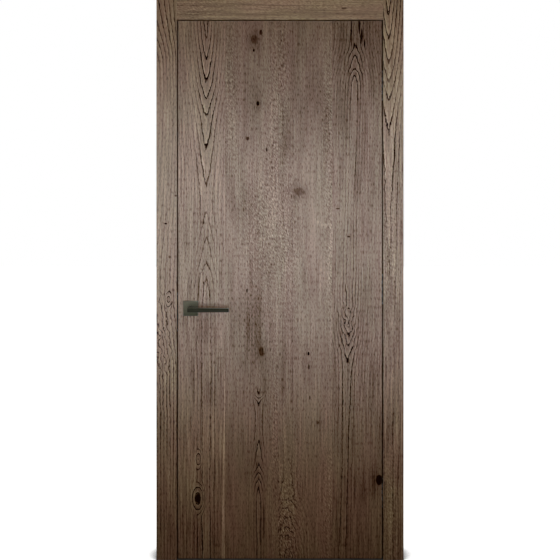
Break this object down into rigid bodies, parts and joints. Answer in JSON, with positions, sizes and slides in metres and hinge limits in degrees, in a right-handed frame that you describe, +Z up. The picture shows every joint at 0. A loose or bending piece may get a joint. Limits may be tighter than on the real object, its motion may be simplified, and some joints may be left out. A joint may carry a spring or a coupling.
{
  "type": "interior door",
  "caption": "Flush interior door of brushed smoked oak planks in a flat cased frame, with a sprung dark lever handle and concealed hinges that let the leaf swing towards the viewer.",
  "frame": {"origin": "on the wall face of the hinge-side jamb, at floor level, in the middle of the wall's thickness", "axes": "+X to the right as seen from the front, from the latch side to the hinge side; +Y through the wall, away from the viewer; +Z up"},
  "size_m": [0.97, 0.176, 2.201],
  "materials": {
    "smoked_oak": "brushed, matt oil",
    "core_wood": "sawn",
    "seal_rubber": "matt",
    "handle_bronze": "dark bronze, satin",
    "dark_metal": "dark, satin",
    "bare_steel": "satin"
  },
  "bodies": {
    "frame": {"hinge_jamb": "smoked_oak", "latch_jamb": "smoked_oak", "head_jamb": "smoked_oak", "hinge_stop": "smoked_oak", "latch_stop": "smoked_oak", "head_stop": "smoked_oak", "hinge_seal": "seal_rubber", "latch_seal": "seal_rubber", "head_seal": "seal_rubber", "strike_plate": "dark_metal", "front_casing_latch_side": "smoked_oak", "front_casing_hinge_side": "smoked_oak", "front_casing_head": "smoked_oak", "back_casing_latch_side": "smoked_oak", "back_casing_hinge_side": "smoked_oak", "back_casing_head": "smoked_oak", "frame_hinge_cup_top": "dark_metal", "frame_hinge_cup_middle": "dark_metal", "frame_hinge_cup_bottom": "dark_metal"},
    "leaf": {"leaf_core": "core_wood", "latch_lipping": "smoked_oak", "hinge_lipping": "smoked_oak", "top_lipping": "smoked_oak", "front_plank_1": "smoked_oak", "front_plank_2": "smoked_oak", "front_plank_3": "smoked_oak", "front_plank_4": "smoked_oak", "back_plank_1": "smoked_oak", "back_plank_2": "smoked_oak", "back_plank_3": "smoked_oak", "back_plank_4": "smoked_oak", "lock_faceplate": "dark_metal", "latch_bolt": "bare_steel", "front_rosette": "handle_bronze", "back_rosette": "handle_bronze", "leaf_hinge_cup_top": "dark_metal", "leaf_hinge_cup_middle": "dark_metal", "leaf_hinge_cup_bottom": "dark_metal"},
    "handle": {"front_lever": "handle_bronze", "back_lever": "handle_bronze", "handle_spindle": "bare_steel"},
    "hinge_arms": {"hinge_arms_top": "bare_steel", "hinge_arms_middle": "bare_steel", "hinge_arms_bottom": "bare_steel"}
  },
  "joints": [
    {"name": "leaf_swing", "type": "hinge", "parent": "frame", "child": "leaf", "pos_m": [-0.0425, -0.062, 1.061], "axis": [0, 0, 1], "range_deg": [0, 100]},
    {"name": "lever_turn", "type": "hinge", "parent": "leaf", "child": "handle", "pos_m": [-0.795, -0.038, 0.988], "axis": [0, 1, 0], "range_deg": [0, 40], "stiffness_Nm_per_rad": 1.5, "springref_deg": -45.84},
    {"name": "hinge_arm_swing", "type": "hinge", "parent": "frame", "child": "hinge_arms", "pos_m": [-0.0425, -0.062, 1.061], "axis": [0, 0, 1], "range_deg": [0, 50]}
  ],
  "couplings": [
    {"joint": "hinge_arm_swing", "follows": "leaf_swing", "ratio": 0.5}
  ]
}
